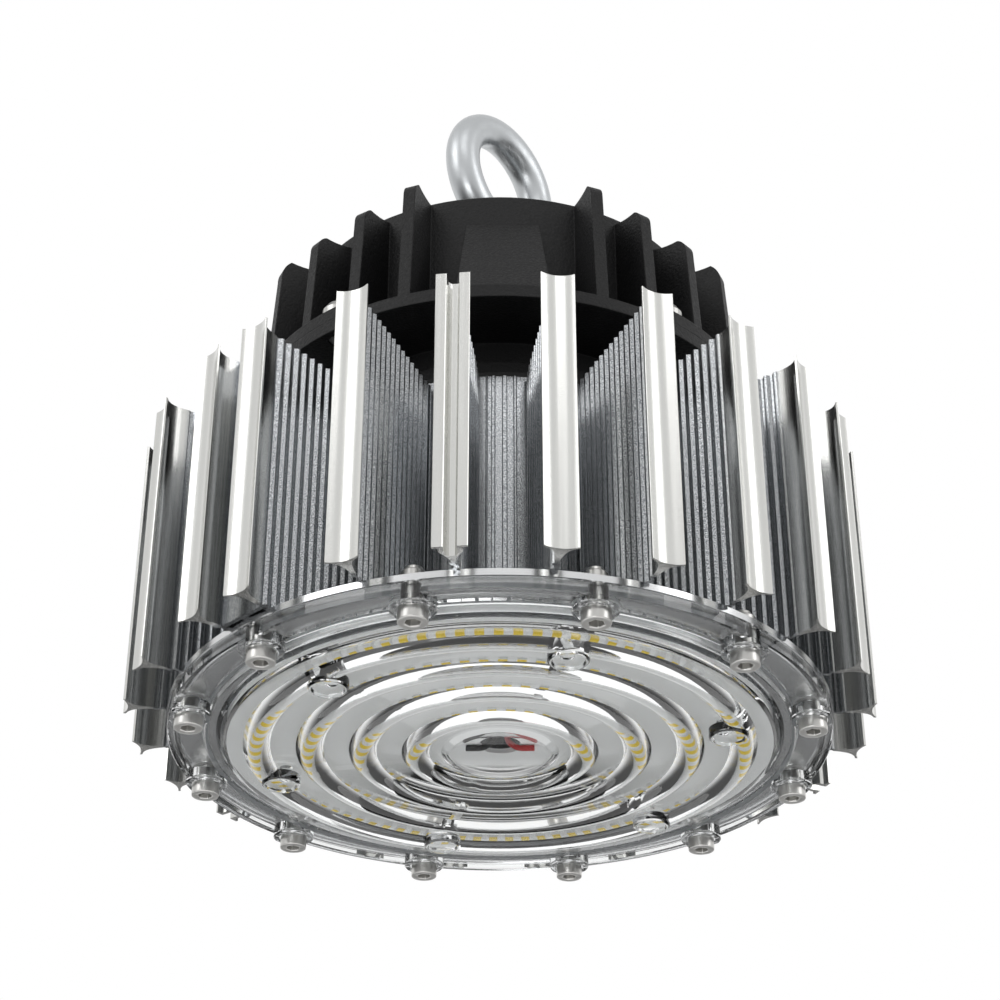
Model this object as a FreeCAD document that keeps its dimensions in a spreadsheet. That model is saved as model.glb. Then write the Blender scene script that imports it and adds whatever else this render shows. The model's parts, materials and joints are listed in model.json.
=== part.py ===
"""High bay light: an extruded heat sink under a ribbed driver housing, with an LED board
behind a ring lens at the bottom and a lifting eye at the top.

Millimetres. +Z is up, the origin is on the light's axis in the plane of the lens screws'
heads, which the light stands on. The housing's front pad faces -Y.
"""
import FreeCAD, Part, Sketcher
import math
import os
import re

from FreeCAD import Placement, Rotation, Vector

doc = FreeCAD.newDocument("high_bay_light")
Z_UP = Vector(0, 0, 1)

# ---------------------------------------------------------------- driving sizes

SIZES = [
    # lens screws
    ("lens_screw_circle", 95.0, "radius of the ring of lens screws"),
    ("lens_screw_count", 12, "lens screws"),
    ("lens_screw_turn", 15.0, "angle of the first lens screw"),
    ("screw_head_radius", 4.25, "M5 socket head"),
    ("screw_head_height", 5.0, "M5 socket head"),
    ("screw_radius", 2.5, "M5 shank"),
    ("screw_length", 11.6, "under the lens screw's head"),
    ("socket_flats", 4.0, "hexagon socket of an M5 head, across flats"),
    ("socket_depth", 2.5, "hexagon socket"),
    ("thread_gap", 0.05, "radial gap between a screw and its thread's bore"),
    ("screw_gap", 0.3, "radial gap between a screw and a clear hole"),
    ("nut_radius", 3.7, "round clinch nut of a lens screw"),
    ("nut_height", 3.4, "clinch nut above the base plate"),
    # lens
    ("lens_edge", 5.7, "from the screw circle out to the lens's edge"),
    ("lens_skin", 2.5, "thickness of the lens's flat bands"),
    ("lens_face", 3.8, "height of the flat bands' outer face"),
    ("lens_flange_top", 9.8, "seat of the lens on the base plate"),
    ("channel_skin", 2.6, "lens above the screw channel"),
    ("channel_in", 5.0, "from the screw circle in to the channel's wall"),
    ("channel_out", 3.2, "from the screw circle out to the lens's lip"),
    ("lip_depth", 4.2, "thickness of the lens's outer lip"),
    ("step_in", 11.5, "from the screw circle in to the step beside the channel"),
    ("step_rise", 1.2, "height of that step over the flat bands"),
    ("boss_radius", 6.6, "boss round each lens screw"),
    ("boss_lip", 1.6, "how far the boss stands down round the screw's head"),
    ("head_gap", 0.4, "gap between the screw's head and the boss"),
    ("ring_count", 4, "lens rings"),
    ("ring_first", 25.7, "radius of the smallest lens ring"),
    ("ring_margin", 9.8, "from the step in to the largest ring's middle"),
    ("ring_half", 4.2, "half width of a lens ring"),
    ("ring_rise", 2.2, "how far a lens ring stands out of the flat bands"),
    ("dome_gap", 3.4, "flat between the lens's centre and its first ring"),
    ("dome_rise", 1.4, "how far the lens's centre stands out"),
    ("dome_slope", 2.6, "radial length of the centre's sloped edge"),
    ("post_in", 25.0, "from the screw circle in to the lens posts"),
    ("post_count", 6, "lens posts"),
    ("post_turn", 45.0, "angle of the first lens post"),
    ("post_radius", 6.0, "lens post"),
    ("post_rise", 3.2, "how far a lens post stands out"),
    ("dish_radius", 4.6, "dished recess in the post's end"),
    ("dish_depth", 0.9, "dished recess in the post's end"),
    ("pin_radius", 2.1, "pin of a post that bears on the board"),
    ("pin_shift", 1.3, "from the post's axis in to the pin's axis"),
    ("seal_in", 6.6, "from the screw circle in to the lens's sealing ring"),
    ("seal_width", 2.0, "sealing rings"),
    ("seal_depth", 1.2, "sealing rings' grooves"),
    # base plate, board and light sources
    ("plate_edge", 0.3, "how far the base plate stands out past the lens"),
    ("base_thickness", 2.0, "base plate"),
    ("board_in", 12.0, "from the screw circle in to the LED board's edge"),
    ("board_thickness", 1.6, "LED board"),
    ("board_hole", 6.6, "hole in the LED board for the leads"),
    ("led_long", 3.5, "LED package, radial"),
    ("led_wide", 2.8, "LED package, along its ring"),
    ("led_height", 0.7, "LED package"),
    ("led_pitch", 5.3, "from one LED to the next"),
    # heat sink
    ("fin_count", 24, "fin places round the heat sink"),
    ("fin_height", 89.0, "length of the extrusion"),
    ("core_radius", 60.8, "outside of the heat sink's tube"),
    ("core_wall", 4.0, "wall of the heat sink's tube"),
    ("fin_thickness", 1.3, "fin web"),
    ("fin_wave", 0.5, "how far a web's waves swing to each side"),
    ("wave_count", 13, "waves in a fin web"),
    ("fin_tip_radius", 114.0, "corners of a fin's tip"),
    ("tip_half", 4.9, "half width of a fin's tip"),
    ("tip_edge", 0.8, "thickness at the tip's edges"),
    ("tip_hollow", 1.4, "how far the tip's outer face is hollowed"),
    ("neck_length", 9.0, "tapered neck between a tip and its web"),
    ("slot_half", 1.8, "half width of the screw channel in a slotted tip"),
    ("slot_depth", 5.2, "depth of that channel"),
    ("slotted_count", 3, "fins with a slotted tip"),
    ("slotted_turn", -97.5, "angle of the first slotted tip"),
    ("pad_turn", -135.0, "angle of the flat pad between two plain fins"),
    ("pad_spread", 5.17, "angle from the pad's middle to each of its fins"),
    ("pad_set_back", 11.0, "from the tips' corners in to the pad's face"),
    ("pad_wall", 3.8, "thickness of the pad's wall"),
    ("pad_slot_long", 6.2, "slots inside the pad's wall"),
    ("pad_slot_wide", 0.8, "slots inside the pad's wall"),
    ("pad_slot_shift", 4.5, "from the pad's middle to the middle of a slot"),
    ("port_inset", 3.8, "from the tube's bore in to the screw ports"),
    ("port_count", 6, "screw ports"),
    ("port_radius", 4.8, "outside of a screw port"),
    ("port_screw", 2.0, "M4 shank of the screws in the ports"),
    # driver base and housing
    ("foot_seal", 1.5, "gasket between the heat sink and the driver base"),
    ("foot_thickness", 4.0, "foot flange of the driver base"),
    ("neck_in", 3.3, "from the foot's edge in to the neck of the driver base"),
    ("neck_height", 9.1, "neck of the driver base"),
    ("bore_in", 7.0, "from the screw ports in to the bore of the driver base"),
    ("flange_thickness", 4.3, "plate of the driver base, and the housing's ears"),
    ("flange_width", 15.5, "how far that plate stands out past the housing's wall"),
    ("wall_out", 5.7, "from the heat sink's tube out to the housing's wall"),
    ("wall_thickness", 3.5, "housing wall"),
    ("wall_height", 45.3, "housing wall"),
    ("roof_thickness", 3.5, "housing roof"),
    ("roof_rise", 3.0, "how far the roof rises above the wall"),
    ("roof_chamfer", 3.5, "radial length of the roof's sloped edge"),
    ("eye_boss_height", 14.0, "eye boss above the roof"),
    ("eye_boss_radius", 17.0, "top of the roof's eye boss"),
    ("eye_boss_flare", 5.0, "how much wider the boss is at the roof"),
    ("rib_thickness", 4.0, "housing ribs"),
    ("rib_turn_1", 21.6, "angle from the front to the first rib"),
    ("rib_turn_2", 34.3, "to the second rib"),
    ("rib_turn_3", 48.5, "to the third rib"),
    ("rib_turn_4", 65.2, "to the fourth rib"),
    ("rib_drop_1", 2.6, "from the roof down to the first rib's peak"),
    ("rib_drop_2", 6.8, "to the second rib's peak"),
    ("rib_drop_3", 8.6, "to the third rib's peak"),
    ("rib_drop_4", 4.6, "to the fourth rib's peak"),
    ("rib_root_1", 2.8, "from the roof down to where the first rib's top meets the wall"),
    ("rib_root_2", 4.2, "to the second rib's root"),
    ("rib_root_3", 6.2, "to the third rib's root"),
    ("rib_root_4", 4.4, "to the fourth rib's root"),
    ("rib_hollow", 26.0, "radius of the hollow in a rib's top"),
    ("rib_peak_in", 5.5, "from the plate's edge in to a rib's peak"),
    ("rib_corner_1", 4.4, "rounding of the first rib's outer corner"),
    ("rib_corner_2", 4.4, "rounding of the second"),
    ("rib_corner_3", 4.4, "rounding of the third"),
    ("rib_corner_4", 6.8, "rounding of the fourth, which is fuller"),
    ("rib_lean", 2.2, "how far a rib's outer edge leans in"),
    ("ear_turn", 35.2, "angle from the front to where an ear starts"),
    ("ear_screw_turn", 41.4, "angle from the front to the ear screws"),
    ("ear_screw_in", 5.0, "from the plate's edge in to the ear screws"),
    ("ear_screw", 2.5, "M5 screws in the ears"),
    ("ear_head_radius", 4.75, "M5 pan head"),
    ("ear_head_height", 4.4, "M5 pan head"),
    ("pan_radius", 4.0, "M4 pan head"),
    ("pan_height", 3.0, "M4 pan head"),
    ("pad_drop", 11.0, "from the wall's top down to the top of the front pad"),
    ("pad_half_top", 11.3, "half width of the front pad at its top"),
    ("pad_half_foot", 14.2, "half width of the front pad at its foot"),
    ("pad_proud", 1.0, "how far the pad's top stands out of the wall"),
    # lifting eye
    ("eye_ring", 20.6, "centre line of the eye's ring"),
    ("eye_rod", 5.9, "half thickness of the eye's ring"),
    ("eye_neck", 13.0, "from the collar up to the ring's centre line"),
    ("eye_turn", 50.2, "angle of the eye's plane about the axis"),
    ("collar_radius", 15.0, "collar of the lifting eye"),
    ("collar_height", 7.0, "collar of the lifting eye"),
    ("shank_radius", 6.0, "M12 shank of the lifting eye"),
    ("shank_end", 6.0, "how far the shank passes through its nut"),
    ("eye_nut_flats", 18.0, "M12 nut, across flats"),
    ("eye_nut_height", 9.0, "M12 nut"),
    ("washer_radius", 12.0, "plain washers on the shank"),
    ("washer_height", 2.5, "plain washer on the shank"),
    ("eye_seal_height", 1.6, "sealing washer under the collar"),
    # cable gland
    ("gland_circle", 42.0, "distance of the cable gland from the axis"),
    ("gland_turn", 70.0, "angle of the cable gland"),
    ("gland_stem", 8.0, "M16 stem of the gland"),
    ("gland_flats", 20.0, "gland, across flats"),
    ("gland_flange", 5.0, "hexagon of the gland's body"),
    ("gland_rise", 14.0, "dome nut of the gland"),
    ("gland_bore", 4.2, "hole in the gland's rubber insert"),
    ("gland_mouth", 6.2, "hole in the gland's dome nut"),
    ("locknut_height", 3.0, "lock nut of the gland"),
    # driver
    ("driver_gap", 5.0, "from the housing's wall in to the driver's board"),
    ("driver_board_thickness", 1.6, "driver's circuit board"),
    ("standoff_height", 7.0, "spacers under the driver's circuit board"),
    ("standoff_radius", 3.0, "spacers under the driver's circuit board"),
    ("standoff_in", 5.0, "from the board's edge in to the spacers"),
    ("standoff_turn", 45.0, "angle of the first spacer"),
    ("driver_screw", 1.5, "M3 shank"),
    ("wire_radius", 1.0, "leads to the LED board"),
    ("wire_apart", 2.3, "from the axis to each lead"),
    ("wire_bend", 4.5, "bend of a lead at the LED board"),
    ("wire_reach", 10.5, "from the axis to a lead's soldered end"),
    ("wire_turn", -1.0, "angle that the red lead turns to"),
    ("grommet_bore", 4.4, "grommet in the base plate"),
    ("grommet_wall", 1.8, "grommet in the base plate"),
    ("grommet_lip", 2.0, "grommet's lip on the base plate"),
]

# sizes that follow from the driving ones
FOLLOWING = [
    ("lens_radius", "lens_screw_circle + lens_edge"),
    ("channel_inner", "lens_screw_circle - channel_in"),
    ("channel_outer", "lens_screw_circle + channel_out"),
    ("channel_floor", "lens_flange_top - channel_skin"),
    ("lip_face", "lens_flange_top - lip_depth"),
    ("step_radius", "lens_screw_circle - step_in"),
    ("step_face", "lens_face + step_rise"),
    ("ring_last", "step_radius - ring_margin"),
    ("ring_pitch", "(ring_last - ring_first) / (ring_count - 1)"),
    ("dome_radius", "ring_first - ring_half - dome_gap - dome_slope"),
    ("dome_face", "lens_face - dome_rise"),
    ("post_circle", "lens_screw_circle - post_in"),
    ("post_face", "lens_face - post_rise"),
    ("seal_radius", "lens_screw_circle - seal_in"),
    ("base_radius", "lens_radius + plate_edge"),
    ("board_radius", "lens_screw_circle - board_in"),
    ("pad_face", "fin_tip_radius - pad_set_back"),
    ("port_circle", "core_radius - core_wall - port_inset"),
    ("neck_radius", "core_radius - neck_in"),
    ("neck_bore", "port_circle - bore_in"),
    ("base_top", "lens_flange_top + base_thickness"),
    ("sink_top", "base_top + fin_height"),
    ("foot_bottom", "sink_top + foot_seal"),
    ("flange_bottom", "foot_bottom + foot_thickness + neck_height"),
    ("flange_top", "flange_bottom + flange_thickness"),
    ("wall_radius", "core_radius + wall_out"),
    ("flange_radius", "wall_radius + flange_width"),
    ("rim_height", "flange_top + wall_height"),
    ("roof_outer", "rim_height + roof_rise"),
    ("roof_inner", "roof_outer - roof_thickness"),
    ("boss_top", "roof_outer + eye_boss_height"),
    ("rib_peak", "flange_radius - rib_peak_in"),
    ("ear_screw_circle", "flange_radius - ear_screw_in"),
    ("pad_top", "rim_height - pad_drop"),
    ("collar_bottom", "boss_top + eye_seal_height"),
    ("eye_height", "collar_bottom + collar_height + eye_neck + eye_ring"),
    ("eye_nut_bottom", "roof_inner - washer_height - eye_nut_height"),
    ("shank_bottom", "eye_nut_bottom - shank_end"),
    ("driver_radius", "wall_radius - wall_thickness - driver_gap"),
    ("standoff_circle", "driver_radius - standoff_in"),
    ("driver_bottom", "flange_top + standoff_height"),
    ("driver_top", "driver_bottom + driver_board_thickness"),
]

sheet = doc.addObject("Spreadsheet::Sheet", "Sizes")
for row, (alias, value, note) in enumerate(SIZES, start=1):
    sheet.set(f"A{row}", alias)
    sheet.set(f"B{row}", str(value))
    sheet.set(f"C{row}", note)
    sheet.setAlias(f"B{row}", alias)
for row, (alias, formula) in enumerate(FOLLOWING, start=len(SIZES) + 1):
    sheet.set(f"A{row}", alias)
    sheet.set(f"B{row}", f"={formula}")
    sheet.setAlias(f"B{row}", alias)
doc.recompute()
ALIASES = {entry[0] for entry in SIZES + FOLLOWING}

BASE_BOTTOM = "lens_flange_top"
BOARD_BOTTOM = "lens_flange_top - board_thickness"
LED_BOTTOM = f"{BOARD_BOTTOM} - led_height"
LENS_INSIDE = "lens_face + lens_skin"
EAR_TOP = "flange_top + flange_thickness"
INNER_WALL = "wall_radius - wall_thickness"


# ---------------------------------------------------------------- small helpers

def bound(text):
    """The text of an expression, with each size's name pointed at the sheet."""
    def point(match):
        word = match.group(0)
        return f"Sizes.{word}" if word in ALIASES else word
    return re.sub(r"[A-Za-z_][A-Za-z_0-9]*", point, str(text))


def size(text):
    """The present value of an expression in millimetres or degrees."""
    return float(sheet.evalExpression(bound(text)))


def whole(text):
    """The present value of a count."""
    return int(round(size(text)))


def polar(radius, angle, height=0.0):
    """A point at a radius and an angle in degrees about the light's axis."""
    turn = math.radians(angle)
    return Vector(radius * math.cos(turn), radius * math.sin(turn), height)


def new_body(label):
    """An empty PartDesign body."""
    body = doc.addObject("PartDesign::Body", label)
    body.Label = label
    return body


def origin_part(body, role):
    """One of a body's own origin planes or axes."""
    return next(item for item in body.Origin.OriginFeatures if item.Role == role)


def new_sketch(body, name, role="XY_Plane", height=None, turn=None):
    """A sketch on an origin plane, raised along Z or turned about Z."""
    sketch = body.newObject("Sketcher::SketchObject", name)
    sketch.AttachmentSupport = (origin_part(body, role), [""])
    sketch.MapMode = "FlatFace"
    if height is not None:
        sketch.setExpression("AttachmentOffset.Base.z", bound(height))
    if turn is not None:
        sketch.AttachmentOffset = Placement(Vector(), Rotation(Vector(0, 1, 0), 0))
        sketch.setExpression("AttachmentOffset.Rotation.Angle", bound(turn))
    return sketch


def pin_point(sketch, edge, end, across, up):
    """Fix one end of an edge at two expressions measured from the sketch's origin."""
    for kind, text, axis in (("DistanceX", across, -2), ("DistanceY", up, -1)):
        if abs(size(text)) < 1e-9:
            sketch.addConstraint(Sketcher.Constraint("PointOnObject", edge, end, axis))
            continue
        place = sketch.addConstraint(Sketcher.Constraint(kind, -1, 1, edge, end, size(text)))
        sketch.setExpression(f"Constraints[{place}]", bound(text))


def bulged(start, end, radius, turn):
    """An arc of a radius from start to end: turn is 1 for a left-hand bend, -1 for right."""
    chord = end - start
    middle = (start + end) * 0.5
    drop = math.sqrt(max(radius ** 2 - (chord.Length / 2) ** 2, 0.0))
    left = Vector(-chord.y, chord.x, 0).normalize()
    centre = middle + left * (drop * turn)
    first, last = (start, end) if turn > 0 else (end, start)
    begin = math.atan2(first.y - centre.y, first.x - centre.x)
    finish = math.atan2(last.y - centre.y, last.x - centre.x)
    if finish < begin:
        finish += 2 * math.pi
    return Part.ArcOfCircle(Part.Circle(centre, Z_UP, radius), begin, finish)


def draw(sketch, corners):
    """A closed outline. A corner is (across, up), or (across, up, radius, turn) where the
    edge that arrives there is an arc."""
    points = [Vector(size(corner[0]), size(corner[1]), 0) for corner in corners]
    first = sketch.GeometryCount
    for place, corner in enumerate(corners):
        start = points[place - 1]
        end = points[place]
        if len(corner) == 4:
            sketch.addGeometry(bulged(start, end, size(corner[2]), corner[3]))
        else:
            sketch.addGeometry(Part.LineSegment(start, end))
    count = len(corners)
    for place, corner in enumerate(corners):
        edge = first + place
        following = (place + 1) % count
        arrive = 1 if corner[3:] == (-1,) else 2
        leave = 2 if corners[following][3:] == (-1,) else 1
        sketch.addConstraint(
            Sketcher.Constraint("Coincident", edge, arrive, first + following, leave))
        pin_point(sketch, edge, arrive, corner[0], corner[1])
        if len(corner) == 4:
            rule = sketch.addConstraint(Sketcher.Constraint("Radius", edge, size(corner[2])))
            sketch.setExpression(f"Constraints[{rule}]", bound(corner[2]))


def draw_circle(sketch, radius, across="0", up="0"):
    """A full circle whose radius and centre are expressions."""
    centre = Vector(size(across), size(up), 0)
    edge = sketch.addGeometry(Part.Circle(centre, Vector(0, 0, 1), size(radius)))
    pin_point(sketch, edge, 3, across, up)
    rule = sketch.addConstraint(Sketcher.Constraint("Radius", edge, size(radius)))
    sketch.setExpression(f"Constraints[{rule}]", bound(radius))


def hexagon(flats, across="0", up="0"):
    """The corners of a hexagon, as expressions, with two corners on the across axis."""
    long = f"({flats}) / 1.7320508"
    return [(f"{across} + {long}", up),
            (f"{across} + {long} / 2", f"{up} + ({flats}) / 2"),
            (f"{across} - {long} / 2", f"{up} + ({flats}) / 2"),
            (f"{across} - {long}", up),
            (f"{across} - {long} / 2", f"{up} - ({flats}) / 2"),
            (f"{across} + {long} / 2", f"{up} - ({flats}) / 2")]


def pad(body, name, sketch, length, midplane=False):
    """A sketch pushed out along its normal, or to both sides of it."""
    feature = body.newObject("PartDesign::Pad", name)
    feature.Profile = sketch
    feature.setExpression("Length", bound(length))
    if midplane:
        feature.SideType = "Symmetric"
    return feature


def pocket(body, name, sketch, length, upwards=False):
    """A cut of a given depth from a sketch, downwards unless upwards is asked for."""
    feature = body.newObject("PartDesign::Pocket", name)
    feature.Profile = sketch
    feature.setExpression("Length", bound(length))
    feature.Reversed = upwards
    return feature


def revolve(body, name, corners, turn=None, axis_shift=None, cut=False):
    """A profile in the XZ plane turned right round the Z axis, or round a line beside it."""
    sketch = new_sketch(body, f"{name}_profile", "XZ_Plane", turn=turn)
    draw(sketch, corners)
    axis = (sketch, ["V_Axis"])
    if axis_shift is not None:
        line = Part.LineSegment(Vector(size(axis_shift), 0, 0), Vector(size(axis_shift), 10, 0))
        edge = sketch.addGeometry(line, True)
        pin_point(sketch, edge, 1, axis_shift, "0")
        pin_point(sketch, edge, 2, axis_shift, "10")
        axis = (sketch, ["Axis0"])
    kind = "PartDesign::Groove" if cut else "PartDesign::Revolution"
    feature = body.newObject(kind, name)
    feature.Profile = sketch
    feature.ReferenceAxis = axis
    feature.Angle = 360.0
    return feature


def ring_of(body, name, features, count):
    """Copies of features, evenly spaced about the Z axis."""
    pattern = body.newObject("PartDesign::PolarPattern", name)
    pattern.Originals = features
    pattern.Axis = (origin_part(body, "Z_Axis"), [""])
    pattern.Angle = 360.0
    pattern.setExpression("Occurrences", bound(count))
    body.Tip = pattern
    return pattern


def turn_body(body, angle):
    """Turn a finished body about the light's axis."""
    body.setExpression("Placement.Rotation.Angle", bound(angle))


def plain(label, kind, sizes, place=(0, 0, 0), turn=0.0):
    """A Part primitive with its sizes and its place bound to the sheet."""
    solid = doc.addObject(kind, label)
    solid.Label = label
    for name, text in sizes.items():
        solid.setExpression(name, bound(text))
    for axis, text in zip("xyz", place):
        solid.setExpression(f"Placement.Base.{axis}", bound(text))
    if turn:
        solid.setExpression("Placement.Rotation.Angle", bound(turn))
    return solid


def from_code(label, shape):
    """A Part::Feature for a shape that Part's own functions make."""
    feature = doc.addObject("Part::Feature", label)
    feature.Label = label
    feature.Shape = shape
    return feature


PARTS = []


def keep(item):
    """Note a finished sub-part."""
    PARTS.append(item)
    return item


# ---------------------------------------------------------------- lens end

def lens_rings():
    """The lens rings' radii as expressions, from the smallest out."""
    return [f"ring_first + {step} * ring_pitch" for step in range(whole("ring_count"))]


def sag_radius(half, rise):
    """The radius of an arc with a given half chord and rise, as an expression."""
    return f"(({half}) * ({half}) + ({rise}) * ({rise})) / (2 * ({rise}))"


def make_lens():
    """The clear lens: rings over the LED rings, a screw channel and posts to the board."""
    body = new_body("lens")
    outside = [("0", "dome_face"), ("dome_radius", "dome_face"),
               ("dome_radius + dome_slope", "lens_face")]
    for radius in lens_rings():
        outside.append((f"{radius} - ring_half", "lens_face"))
        outside.append((f"{radius} + ring_half", "lens_face",
                        sag_radius("ring_half", "ring_rise"), 1))
    outside += [("step_radius - 1", "lens_face"),
                ("step_radius", "step_face"),
                ("channel_inner - 1", "step_face"),
                ("channel_inner", "channel_floor"),
                ("channel_outer - 0.6", "channel_floor"),
                ("channel_outer", "lip_face"),
                ("lens_radius", "lip_face"),
                ("lens_radius", "lens_flange_top"),
                ("seal_radius + seal_width", "lens_flange_top"),
                ("seal_radius + seal_width", "lens_flange_top - seal_depth"),
                ("seal_radius", "lens_flange_top - seal_depth"),
                ("seal_radius", "lens_flange_top"),
                ("seal_radius - 2.4", "lens_flange_top"),
                ("seal_radius - 3.4", LENS_INSIDE)]
    inside = [("dome_radius + dome_slope / 2", LENS_INSIDE),
              ("dome_radius - dome_slope / 2", "dome_face + lens_skin - 0.5"),
              ("0", "dome_face + lens_skin - 0.5")]
    revolve(body, "lens_shell", outside + inside)

    boss_bottom = "screw_head_height - boss_lip"
    boss = new_sketch(body, "boss_circle", height=boss_bottom)
    draw_circle(boss, "boss_radius", "lens_screw_circle * cos(lens_screw_turn)",
                "lens_screw_circle * sin(lens_screw_turn)")
    boss_pad = pad(body, "screw_boss", boss, f"lens_flange_top - seal_depth - ({boss_bottom})")
    seat = new_sketch(body, "head_seat_circle", height=boss_bottom)
    draw_circle(seat, "screw_head_radius + head_gap", "lens_screw_circle * cos(lens_screw_turn)",
                "lens_screw_circle * sin(lens_screw_turn)")
    seat_cut = pocket(body, "head_seat", seat, "boss_lip", upwards=True)
    ring_of(body, "screw_bosses", [boss_pad, seat_cut], "lens_screw_count")
    rim_trim = new_sketch(body, "rim_trim_rings", height="0")
    draw_circle(rim_trim, "lens_radius + 3 * boss_radius")
    draw_circle(rim_trim, "lens_radius")
    pocket(body, "rim_trim", rim_trim, "2 * lens_flange_top", upwards=True)

    hole = new_sketch(body, "screw_hole_circle", height="0")
    draw_circle(hole, "screw_radius + screw_gap", "lens_screw_circle * cos(lens_screw_turn)",
                "lens_screw_circle * sin(lens_screw_turn)")
    hole_cut = pocket(body, "screw_hole", hole, "2 * lens_flange_top", upwards=True)
    ring_of(body, "screw_holes", [hole_cut], "lens_screw_count")

    post_x = "post_circle * cos(post_turn)"
    post_y = "post_circle * sin(post_turn)"
    post = new_sketch(body, "post_outline", height="post_face")
    draw_circle(post, "post_radius", post_x, post_y)
    post_pad = pad(body, "post", post, f"{LENS_INSIDE} - post_face")
    pin = new_sketch(body, "pin_outline", height="lens_face")
    draw_circle(pin, "pin_radius", "(post_circle - pin_shift) * cos(post_turn)",
                "(post_circle - pin_shift) * sin(post_turn)")
    pin_pad = pad(body, "post_pin", pin, f"{BOARD_BOTTOM} - lens_face")
    dish = new_sketch(body, "dish_outline", height="post_face")
    draw_circle(dish, "dish_radius", post_x, post_y)
    dish_cut = pocket(body, "post_dish", dish, "dish_depth", upwards=True)
    ring_of(body, "posts", [post_pad, pin_pad, dish_cut], "post_count")
    keep(body)


def make_seal_ring(label, inner, bottom, height, width="seal_width"):
    """A flat sealing ring."""
    body = new_body(label)
    revolve(body, f"{label}_ring", [(inner, bottom), (f"{inner} + {width}", bottom),
                                    (f"{inner} + {width}", f"{bottom} + {height}"),
                                    (inner, f"{bottom} + {height}")])
    keep(body)


def socket_screws(label, circle, turn, count, bottom, head, rise, shank, length, flats, deep):
    """Socket head screws on a circle, heads down: each is turned, then its socket is cut."""
    body = new_body(label)
    chamfer = "0.4"
    corners = [(circle, bottom),
               (f"{circle} + {head} - {chamfer}", bottom),
               (f"{circle} + {head}", f"{bottom} + {chamfer}"),
               (f"{circle} + {head}", f"{bottom} + {rise}"),
               (f"{circle} + {shank}", f"{bottom} + {rise}"),
               (f"{circle} + {shank}", f"{bottom} + {rise} + {length}"),
               (circle, f"{bottom} + {rise} + {length}")]
    one = revolve(body, f"{label}_screw", corners, axis_shift=circle)
    socket = new_sketch(body, f"{label}_socket_outline", height=bottom)
    draw(socket, hexagon(flats, circle))
    cut = pocket(body, f"{label}_socket", socket, deep, upwards=True)
    ring_of(body, f"{label}_ring", [one, cut], count)
    turn_body(body, turn)
    keep(body)


def turned_ring(label, circle, turn, count, corners):
    """Like turned pieces on a circle. The corners are (out, up) from each piece's axis."""
    body = new_body(label)
    shifted = [(f"{circle} + {out}", up) for out, up in corners]
    one = revolve(body, f"{label}_one", shifted, axis_shift=circle)
    ring_of(body, f"{label}_ring", [one], count)
    turn_body(body, turn)
    keep(body)


def make_lens_nuts():
    """Clinch nuts on the base plate, one over each lens screw."""
    top = "base_top + nut_height"
    bore = "screw_radius + thread_gap"
    turned_ring("lens_nuts", "lens_screw_circle", "lens_screw_turn", "lens_screw_count",
                [(bore, "base_top"), ("nut_radius", "base_top"),
                 ("nut_radius", f"{top} - 0.4"), ("nut_radius - 0.4", top), (bore, top)])


def make_base_plate():
    """The turned aluminium plate between the lens and the heat sink."""
    body = new_body("base_plate")
    outline = new_sketch(body, "plate_outline", height=BASE_BOTTOM)
    draw_circle(outline, "base_radius")
    draw_circle(outline, "grommet_bore + grommet_wall")
    pad(body, "plate", outline, "base_thickness")
    hole = new_sketch(body, "lens_hole_circle", height=BASE_BOTTOM)
    draw_circle(hole, "screw_radius + screw_gap", "lens_screw_circle * cos(lens_screw_turn)",
                "lens_screw_circle * sin(lens_screw_turn)")
    ring_of(body, "lens_holes",
            [pocket(body, "lens_hole", hole, "base_thickness", upwards=True)],
            "lens_screw_count")
    sink = revolve(body, "countersink",
                   [("port_circle", BASE_BOTTOM),
                    ("port_circle + 2 * port_screw + screw_gap", BASE_BOTTOM),
                    ("port_circle + port_screw + screw_gap", "base_top"),
                    ("port_circle", "base_top")],
                   axis_shift="port_circle", cut=True)
    ring_of(body, "countersinks", [sink], "port_count")
    keep(body)


def make_base_plate_screws():
    """Countersunk screws that hold the base plate to the heat sink's ports."""
    tip = f"{BASE_BOTTOM} + 6 * port_screw"
    turned_ring("base_plate_screws", "port_circle", "0", "port_count",
                [("0", BASE_BOTTOM), ("2 * port_screw", BASE_BOTTOM),
                 ("port_screw", "base_top"), ("port_screw", tip), ("0", tip)])


def make_grommet():
    """The rubber grommet that guides the leads through the base plate."""
    body = new_body("grommet")
    lip = "grommet_bore + grommet_wall + grommet_lip"
    revolve(body, "grommet_ring",
            [("grommet_bore", BASE_BOTTOM), ("grommet_bore + grommet_wall", BASE_BOTTOM),
             ("grommet_bore + grommet_wall", "base_top"), (lip, "base_top"),
             (f"{lip} - 0.6", "base_top + 1.6"), ("grommet_bore", "base_top + 1.6")])
    keep(body)


def make_led_board():
    """The white aluminium-core board."""
    body = new_body("led_board")
    outline = new_sketch(body, "board_outline", height=BOARD_BOTTOM)
    draw_circle(outline, "board_radius")
    draw_circle(outline, "board_hole")
    pad(body, "board", outline, "board_thickness")
    keep(body)


def make_leds():
    """The LED packages, in one ring under each ring of the lens."""
    long = size("led_long")
    wide = size("led_wide")
    height = size("led_height")
    packages = []
    for radius in (size(text) for text in lens_rings()):
        count = int(round(2 * math.pi * radius / size("led_pitch")))
        for step in range(count):
            package = Part.makeBox(long, wide, height, Vector(radius - long / 2, -wide / 2, 0))
            package.rotate(Vector(), Z_UP, 360.0 * step / count)
            package.translate(Vector(0, 0, size(LED_BOTTOM)))
            packages.append(package)
    keep(from_code("leds", Part.makeCompound(packages)))


# ---------------------------------------------------------------- heat sink

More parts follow.
